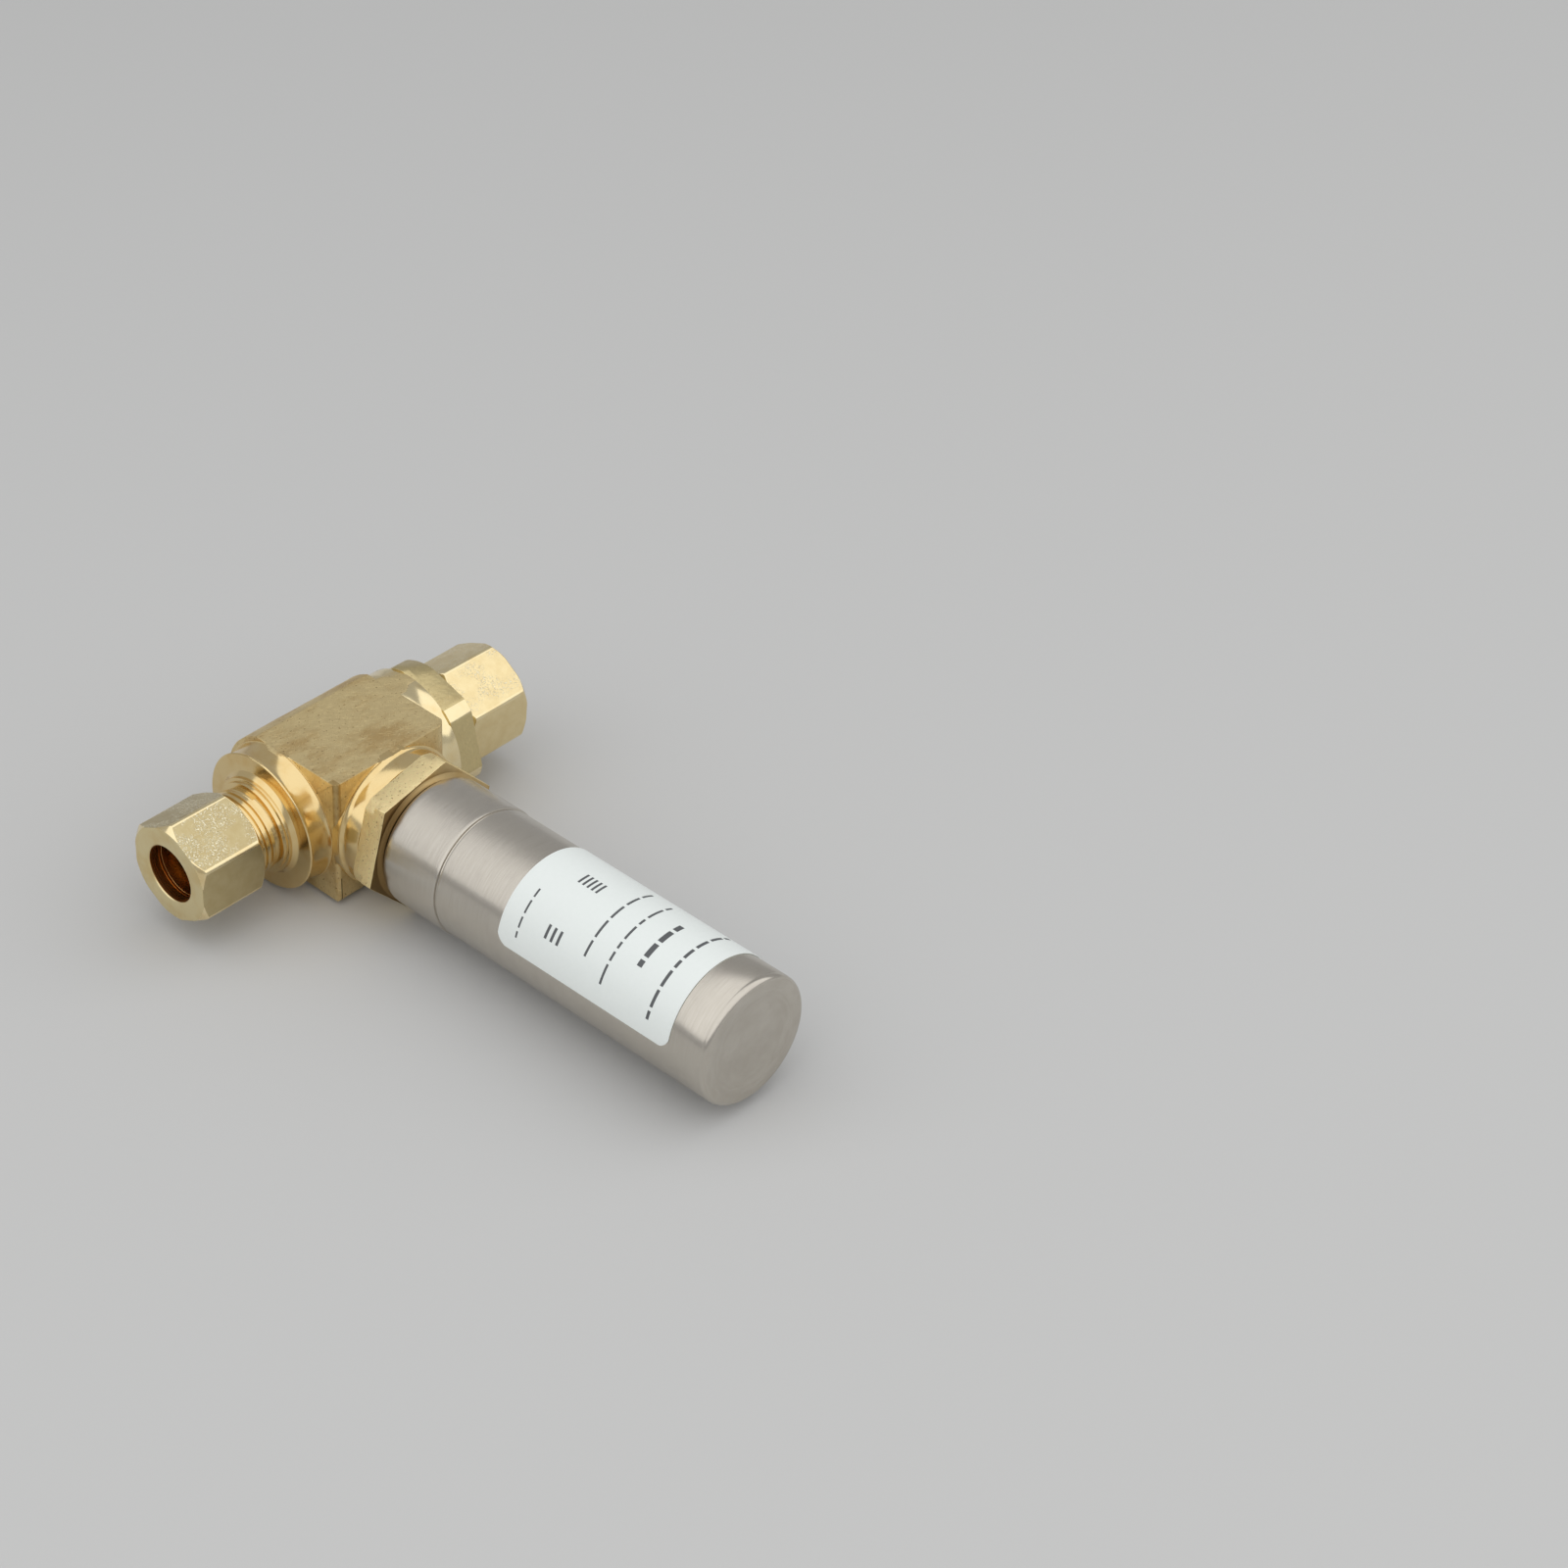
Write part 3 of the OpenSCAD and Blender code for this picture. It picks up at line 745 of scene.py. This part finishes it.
def left_profile(angle):
    outer = [(core_start, core), (collar_root, core), (collar_root, collar_back), (collar_band_end, collar_back)] + cove
    outer += [(collar_edge, collar_front), (collar_face, collar_front - collar_chamfer)]
    outer += [(collar_face, cone), (cone_end, big_ring), (big_ring_end, big_ring), (big_ring_end, small_ring)]
    outer += [(small_ring_end, small_ring), (small_ring_end, thread_root)]
    outer += [(thread_end - thread_chamfer, thread_root), (thread_end, thread_tip)]
    cuts = [0, 0, 0, 0.05] + [0.0] * len(cove)
    cuts += [0.08, 0.08, 0.12, 0.06, 0.07, 0.06, 0.07, 0.06, 0.05, 0.05, 0.05, 0, 0, 0, 0]
    return soften(outer + inside_of_run_end(), cuts, 2)


def press_onto_flats(sections):
    """Presses what stands above the forging's flats down onto them."""
    pressed = []
    for section in sections:
        row = []
        for x, y, z in section:
            limit = half_height + forged_wave(x, y, math.copysign(half_height, z))
            row.append((x, y, max(-limit, min(limit, z))))
        pressed.append(row)
    return pressed


def flat_or_turned(middle):
    """1 on the pressed flats and 0 on the turned faces."""
    near_flat = abs(middle.z) > half_height - 0.12
    above_the_axis = abs(middle.z) > 0.97 * math.hypot(middle.y, middle.z)
    return 1 if near_flat and above_the_axis else 0


near_flats = np.radians(np.concatenate([np.arange(4, 20, 0.4), np.arange(160, 176, 0.4)]))
run_angles = np.concatenate([full_circle(216), near_flats, 2 * math.pi - near_flats])
run_angles = np.unique(np.round(run_angles, 6))
left_end = skin(
    "tee_left_end", press_onto_flats(sweep("left", run_angles, left_profile)),
    [brass_turned_run, brass_forged], "tee", sharp=20, paint=flat_or_turned,
)
print("tee_left_end:", len(left_end.data.polygons), "faces")

# %% [markdown]
# ## The neck of the branch and the right end
#
# The branch is turned in the same way. A crisp rim stands around its root and falls in a small cove
# to the neck, which meets the hexagon of the arrestor. On the right a neck flares out of the block,
# with a paler brass as painted highlight, and is pressed onto its flats, as the left collar is. It
# carries a hexagon for a wrench, whose corners are turned off, and then the second thread. One corner
# of that hexagon is worn further than the rest, and the facet that the turning left in front is
# painted paler as painted highlight.

# %% Turn the neck of the branch
neck_band_end, neck_fall, neck_end = 13.7, 0.9, 17.4
neck_radius, neck_bore, neck_inner = 11.3, 8.05, 9.6
neck_start, neck_root = 9.2, 12.3


def neck_profile(angle):
    fall = []
    for t in np.linspace(0.12, math.pi / 2, 7):
        radius = collar_back - (collar_back - neck_radius) * math.sin(t)
        fall.append((neck_band_end + neck_fall * (1 - math.cos(t)), radius))
    loop = [(neck_start, neck_bore), (neck_start, neck_inner), (neck_root, neck_inner)]
    loop += [(neck_root, collar_back), (neck_band_end, collar_back)] + fall
    loop += [(neck_end, neck_radius), (neck_end, neck_bore)]
    return soften(loop, [0, 0, 0, 0, 0.05] + [0.0] * len(fall) + [0.08, 0], 2)


neck_sections = press_onto_flats(sweep("branch", run_angles, neck_profile))
neck = skin("tee_branch_neck", neck_sections, [brass_turned_branch], "tee", sharp=20)
print("tee_branch_neck:", len(neck.data.polygons), "faces")

# %% Turn the right end
right_root, right_neck, behind_wrench = 11.95, 11.6, 7.4
right_start, flare_start, flare_end, right_neck_start = 11.0, 12.3, 13.4, 14.4
wrench_near, wrench_far = 15.8, 20.4


def right_profile(angle):
    loop = [(core_start, core), (right_start, core), (right_start, right_root), (flare_start, right_root)]
    loop += [(flare_end, right_neck + 0.12), (right_neck_start, right_neck)]
    loop += [(wrench_near + 0.05, right_neck), (wrench_near + 0.05, behind_wrench)]
    loop += [(wrench_far + 0.5, behind_wrench), (wrench_far + 0.9, thread_root)]
    loop += [(thread_end - thread_chamfer, thread_root), (thread_end, thread_tip)]
    cuts = [0, 0, 0, 0.5, 0.4, 0.4, 0.05, 0, 0.1, 0.1, 0.1, 0.05, 0.05, 0, 0, 0, 0]
    return soften(loop + inside_of_run_end(), cuts, 2)


def right_paint(middle):
    """2 on the pressed flats, 1 on the neck, painted paler as painted highlight, 0 on the thread."""
    return 2 if flat_or_turned(middle) else 1 if middle.x < wrench_near + 0.5 else 0


right_end = skin(
    "tee_right_end", press_onto_flats(sweep("right", run_angles, right_profile)),
    [brass_turned_run, highlight_and_burnish_brass, brass_forged], "tee", paint=right_paint,
)
print("tee_right_end:", len(right_end.data.polygons), "faces")

# %% Cut the wrench hexagon
wrench_flats, wrench_corner, wrench_edge = 21.6, math.radians(-12), 0.25
wrench_turned, wrench_worn, worn_half_angle = 11.85, 11.05, math.radians(20)


def wrench_profile(angle):
    full = hexagon_radius(angle, wrench_flats, wrench_corner, wrench_edge)
    near = min(full, wrench_turned)
    on_top_corner = math.cos(angle - wrench_corner) > math.cos(worn_half_angle)
    far = min(full, wrench_worn if on_top_corner else wrench_turned)
    loop = [(wrench_near, 9.0), (wrench_near, near), (wrench_near + 1.1, near), (wrench_far, far)]
    loop += [(wrench_far, 6.8), (wrench_far - 0.5, 6.8), (wrench_near + 0.6, 9.0)]
    return soften(loop, [0.05, 0.14, 0.1, 0.14, 0.05, 0, 0], 3)


def wrench_paint(middle):
    """1 on the turned facet in front, painted paler as painted highlight, 0 elsewhere."""
    return 1 if math.hypot(middle.y, middle.z) > wrench_turned - 0.05 and middle.y < -6 else 0


wrench_angles = hexagon_angles(wrench_flats, wrench_corner, wrench_edge)
wrench = skin(
    "tee_wrench_hexagon", sweep("right", wrench_angles, wrench_profile),
    [brass_wrench, highlight_and_burnish_brass], "tee", paint=wrench_paint,
)
print("tee_wrench_hexagon:", len(wrench.data.polygons), "faces")

# %% [markdown]
# ## Threads
#
# A thread is one ridge wound round a cylinder: here 24 turns to the inch and right-handed. The
# ridge is a small section carried along a helix, and it fades out at both ends as a cut thread
# does. The nut has the same helix, half a turn out of step and pointing inward, with a thin ridge
# that leaves room on both sides. Because each nut also moves out by one pitch a turn, the two never
# touch at any pose.

# %% Wind the threads
pitch = 25.4 / 24
steps_per_turn, fade_turns, sunk_share = 72, 0.35, 0.12
male_start = {"left": 17.95, "right": 21.7}
male_crest, male_widths = 7.02, (0.27, 0.42)


def helix(name, axis, start, end, root, crest, widths, material, body, half_turn=0.0):
    """A ridge from root to crest. widths are half of its flat and of its foot, in pitches."""
    along, side = AXES[axis]
    flat, foot = widths
    turns = (end - start) / pitch
    sunk = root - (crest - root) * sunk_share
    sections = []
    for u in np.linspace(0, 1, int(turns * steps_per_turn)):
        middle = start + u * (end - start)
        turn = 2 * math.pi * middle / pitch + half_turn
        out = UP * math.cos(turn) + side * math.sin(turn)
        fade = min(1, u * turns / fade_turns, (1 - u) * turns / fade_turns)
        top = root + (crest - root) * max(fade, 0.05)
        shape = [(-foot - 0.04, sunk), (-foot, root), (-flat, top), (flat, top), (foot, root), (foot + 0.04, sunk)]
        sections.append([along * (middle + share * pitch) + out * r for share, r in shape])
    return skin(name, sections, [material], body, around=False, sharp=50)


for side_name, start in male_start.items():
    male = helix(
        side_name + "_male_thread", side_name, start, thread_end - 0.6,
        thread_root, male_crest, male_widths, brass_turned_run, "tee",
    )
    print(male.name, len(male.data.polygons), "faces")

# %% [markdown]
# ## The compression nuts
#
# Each nut is a hexagon whose two ends are turned, so the corners show curved facets. Inside there
# is a threaded bore, a cone that squeezes the ferrule and a smooth hole for the tube. The section
# at each angle starts its end facet exactly where the turned cone meets the flat, so the curved
# edges come out clean. The rounded corners take a paler brass, partly burnish and partly painted
# highlight, and the two ends have a turned finish.

# %% Shape a nut
nut_back, nut_face, nut_flats, nut_face_radius, nut_edge = 21.6, 33.8, 15.875, 8.05, 0.8
nut_mouth, nut_mouth_chamfer, nut_bore, nut_bore_end = 7.4, 0.4, 7.24, 28.5
nut_cone_start, nut_cone_radius, nut_cone_end = 29.4, 6.55, 31.9
hole_chamfer, least_facet = 0.2, 0.09
facet_slope = math.tan(math.radians(42))
highlight_and_burnish_from = 8.945


def nut_profile(corner):
    """The section of a nut that has a corner at this angle from the top."""
    def profile(angle):
        radius = hexagon_radius(angle, nut_flats, corner, nut_edge)
        rim = min(nut_face_radius, radius - least_facet)
        drop = max(least_facet, (radius - nut_face_radius) * facet_slope)
        loop = [(nut_back, nut_mouth), (nut_back, rim), (nut_back + drop, radius)]
        loop += [(nut_face - drop, radius), (nut_face, rim)]
        loop += [(nut_face, socket + hole_chamfer), (nut_face - hole_chamfer, socket), (nut_cone_end, socket)]
        loop += [(nut_cone_start, nut_cone_radius), (nut_bore_end, nut_bore), (nut_back + nut_mouth_chamfer, nut_bore)]
        return soften(loop, [0.1, 0.06, 0.1, 0.1, 0.06, 0.08, 0.08, 0.1, 0.1, 0.1, 0.1], 2)
    return profile


def nut_paint(middle):
    """0 on the flats, 1 on the corners, paler as burnish and painted highlight, 2 on the turned ends, 3 inside."""
    out, along = math.hypot(middle.y, middle.z), abs(middle.x)
    if out < 7.3:
        on_chamfer = along > nut_face - hole_chamfer - 0.02 and out > socket + 0.02
        return 2 if on_chamfer else 3
    if along > nut_face - 0.03 or along < nut_back + 0.03:
        return 2
    facet = (out - nut_face_radius) * facet_slope
    off_facet = min(abs(nut_face - along - facet), abs(along - nut_back - facet))
    # the corners and facet edges take the paler brass: burnish and painted highlight
    return 1 if facet > 0.03 and off_facet < 0.08 or out > highlight_and_burnish_from else 0


print("a nut is", round(nut_face - nut_back, 2), "mm long")

# %% Make the nuts
female_start, female_end = nut_back + 0.9, 28.3
female_crest, female_widths = 6.74, (0.06, 0.30)
nuts = (("left", math.radians(-2.5), left_nut_brass), ("right", math.radians(5.5), right_nut_brass))

for side_name, corner, finish in nuts:
    angles = hexagon_angles(nut_flats, corner, nut_edge)
    nut = skin(
        side_name + "_compression_nut", sweep(side_name, angles, nut_profile(corner)),
        [finish, highlight_and_burnish_brass, nut_face_brass, nut_hole_brass], side_name + "_nut", paint=nut_paint,
    )
    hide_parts(side_name + "_nut")
    female = helix(
        side_name + "_female_thread", side_name, female_start, female_end,
        nut_bore, female_crest, female_widths, nut_hole_brass, side_name + "_nut", half_turn=math.pi,
    )
    print(nut.name, len(nut.data.polygons), "faces, and", female.name, len(female.data.polygons))

# %% [markdown]
# ## The ferrules
#
# A ferrule is the small ring that bites on the tube when the nut is tightened. It has a straight
# band and a cone at each end. It is seen deep inside the nut, where it mirrors the brass around it.
# Its deeper orange brass is a painted reflection of that brass.

# %% Make the ferrules
ferrule_inner, ferrule_inner_tip = 26.25, 5.19
ferrule_band_start, ferrule_band_end, ferrule_radius = 28.1, 30.2, 5.94
ferrule_outer, ferrule_outer_tip = 31.35, 5.1


def ferrule_profile(angle):
    loop = [(ferrule_inner, socket), (ferrule_inner, ferrule_inner_tip)]
    loop += [(ferrule_band_start, ferrule_radius), (ferrule_band_end, ferrule_radius)]
    loop += [(ferrule_outer, ferrule_outer_tip), (ferrule_outer, socket)]
    return soften(loop, [0.08, 0.06, 0.2, 0.2, 0.06, 0.08], 3)


for side_name in ("left", "right"):
    rings = sweep(side_name, full_circle(144), ferrule_profile)
    ferrule = skin(side_name + "_brass_ferrule", rings, [ferrule_brass], side_name + "_ferrule")
    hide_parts(side_name + "_ferrule")
    print(ferrule.name, len(ferrule.data.polygons), "faces")

# %% [markdown]
# ## The base of the arrestor
#
# The canister is closed by a brass plug with a hexagon. The hexagon keeps its rough skin, but the
# corners on the side of the tee are turned down to half its thickness. In front a turned face, darker
# for stain and painted shade and darker still on its left side as painted shade, leads to the deep
# groove that the rim of the canister is rolled into. Slight waves keep the flats from looking like glass.

# %% Make the base
base_flats, base_corner, base_edge = 22.53, math.radians(-17), 0.3
base_thread_start, base_back, base_turned_to, base_front = 9.25, 17.45, 19.4, 21.6
groove_start, groove_end, spigot_end = 22.1, 24.15, 33.65
base_thread, base_face, groove_rim, grip_groove, spigot = 8.0, 11.0, 10.2, 9.2, 10.1
turned_corner, widest_corner = 12.5, 13.0


def base_wave(angle):
    """How far the hexagon's skin stands out at an angle."""
    large = 0.05 * noise.noise(Vector((math.cos(angle), math.sin(angle), 0)) * 5)
    return large + 0.02 * noise.noise(Vector((math.cos(angle), math.sin(angle), 3)) * 19)


def base_profile(angle):
    radius = hexagon_radius(angle, base_flats, base_corner, base_edge) + base_wave(angle)
    radius = min(radius, widest_corner)
    back = min(radius, turned_corner)
    loop = [(base_thread_start, waterway), (base_thread_start, base_thread), (base_back, base_thread)]
    loop += [(base_back, back), (base_turned_to, back), (base_turned_to + 0.1, radius)]
    loop += [(base_front, radius), (base_front, base_face), (groove_start - 0.1, groove_rim + 0.15)]
    loop += [(groove_start, groove_rim), (groove_start, grip_groove), (groove_end, grip_groove)]
    loop += [(groove_end, spigot), (spigot_end, spigot), (spigot_end, waterway)]
    return soften(loop, [0, 0, 0, 0.12, 0.04, 0.04, 0.08, 0.08, 0.1, 0.05, 0, 0, 0, 0, 0], 3)


def base_paint(middle):
    """0 on the hexagon, 1 on its turned back and thread, 2 on everything in front of it."""
    return 2 if -middle.y > base_front - 0.01 else 1 if -middle.y < base_back - 0.01 else 0


base_angles = hexagon_angles(base_flats, base_corner, base_edge, on_flat=30)
base = skin(
    "arrestor_base_brass", sweep("branch", base_angles, base_profile),
    [brass_hexagon, brass_turned_branch, brass_stain_and_shade], "tee", paint=base_paint,
)
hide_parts("arrestor_base")
print(base.name, len(base.data.polygons), "faces")

# %% [markdown]
# ## The steel canister
#
# The canister is a deep-drawn cup. Its mouth is a little wider, as far as a step line with a fine
# groove in it, and its rim is rolled in behind the brass. At the closed end a fine crease runs
# round the wall, just before the soft edge, and the face is slightly dished. It is one section
# turned about the branch axis, written as places along the axis and distances from it.

# %% Make the canister
mouth, wall, face_edge = 10.89, 10.69, 9.1
mouth_inside, wall_inside, floor_inside = 10.19, 9.99, 89.1


def canister_profile(angle):
    lip = [(22.38, 10.2), (22.42, 10.34), (22.56, 10.56), (22.8, 10.73), (23.15, 10.84), (23.6, 10.885), (24.0, mouth)]
    step = [(33.4, mouth), (33.8, mouth), (33.96, 10.84), (34.05, 10.56), (34.24, 10.52), (34.32, 10.66)]
    length = [(along, wall) for along in (34.42, 34.6, 44.0, 54.0, 64.0, 74.0, 84.0)]
    crease = [(88.78, wall), (88.86, 10.655), (88.94, 10.66)]
    edge = arc((89.1, 9.78), 0.9, 84, 6, 9)
    face = [(90.0, face_edge), (89.95, 8.4), (89.83, 7.5), (89.76, 6.2), (89.73, 3.2), (89.72, 0.0)]
    inside = [(floor_inside, 0.0), (floor_inside, 9.6), (88.7, wall_inside), (34.0, wall_inside)]
    inside += [(33.65, mouth_inside), (23.9, mouth_inside), (22.46, 9.45)]
    return lip + step + length + crease + edge + face + inside


rings = sweep("branch", full_circle(288), canister_profile)
canister = skin("steel_canister", rings, [steel], "tee", sharp=30)
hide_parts("canister")
print(canister.name, len(canister.data.polygons), "faces")

# %% [markdown]
# ## The label and its print
#
# The label stays the CAD's own thin sleeve and gets a film finish. The real label carries words and
# marks that this part leaves off. In their place are plain bars, set out like lines of small print,
# which say nothing. Each bar is a thin patch of ink bent round the canister, so it stays crisp from
# close up and needs no picture.

# %% Finish the label
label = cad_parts["label"]
label.data.materials.clear()
label.data.materials.append(label_film)
print("the label is finished with", label_film.name)

# %% Lay out the print
label_radius, ink_height, ink_depth = 10.85, 0.012, 0.02
word_gap, word_lengths = 3.2, (5, 17)


def ink_bar(near, far, start, end):
    """One bar of ink, as sections of four points.

    near and far are distances along the branch, start and end angles from +X over the top.
    """
    along, side = AXES["branch"]
    sections = []
    for degrees in np.linspace(start, end, max(2, int((end - start) / 2) + 1)):
        t = math.radians(degrees - 90)
        out = UP * math.cos(t) + side * math.sin(t)
        low, high = out * (label_radius - ink_depth), out * (label_radius + ink_height)
        sections.append([low + along * near, high + along * near, high + along * far, low + along * far])
    return sections


def line_of_print(middle, height, start, end, letters):
    """Bars of uneven length, like words, between two angles."""
    pick = random.Random(letters)
    bars, at = [], start
    while at < end - 4:
        length = min(pick.uniform(*word_lengths), end - at)
        bars.append(ink_bar(middle - height / 2, middle + height / 2, at, at + length))
        at += length + word_gap
    return bars


ink = line_of_print(51.4, 0.34, 118, 162, 3)
ink += line_of_print(64.3, 0.42, 60, 150, 5)
ink += line_of_print(68.6, 0.42, 62, 157, 8)
ink += line_of_print(73.4, 0.95, 78, 128, 13)
ink += line_of_print(78.4, 0.55, 50, 160, 21)
ink += [ink_bar(55.2 + 0.9 * k, 55.6 + 0.9 * k, 84, 96) for k in range(5)]
ink += [ink_bar(56.3 + 1.2 * k, 56.8 + 1.2 * k, 137, 149) for k in range(3)]
print("the label carries", len(ink), "bars of ink")

# %% Print the label
vertices, faces = [], []
for bar in ink:
    first, last, size = len(vertices), len(vertices) + 4 * (len(bar) - 1), 4
    vertices += [tuple(point * MM) for section in bar for point in section]
    for at in range(first, last, size):
        for j in range(size):
            a, b = at + j, at + (j + 1) % size
            faces.append((a, b, b + size, a + size))
    faces += [tuple(range(first, first + size)), tuple(reversed(range(last, last + size)))]

print_mesh = bpy.data.meshes.new("label_print")
print_mesh.from_pydata(vertices, [], faces)
print_mesh.materials.append(label_ink)
label_print = bpy.data.objects.new("label_print", print_mesh)
scene.collection.objects.link(label_print)
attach(label_print, "tee")
print("label_print:", len(faces), "faces")

# %% [markdown]
# ## Parts that are hidden inside
#
# The piston, its rings and the seal of the base are never seen from outside, but they are real
# parts of the model. Their CAD shapes are right, so they only get their finishes.

# %% Finish the hidden parts
hidden_finish = {
    "piston": piston_plastic,
    "piston_ring_front": seal_rubber,
    "piston_ring_rear": seal_rubber,
    "base_o_ring": seal_rubber,
}
for node_name, finish in hidden_finish.items():
    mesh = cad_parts[node_name].data
    mesh.materials.clear()
    mesh.materials.append(finish)
    print(node_name, "is finished with", finish.name)

# %% [markdown]
# ## Print the size
#
# The looks must not make the fitting bigger or smaller than its CAD model. Both boxes are written
# out, so they can be compared after a render.

# %% Print the sizes
seen_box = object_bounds()
for name, box in (("CAD box", cad_box), ("visual box", seen_box)):
    print(name, [[round(v / MM, 2) for v in corner] for corner in box], "mm")
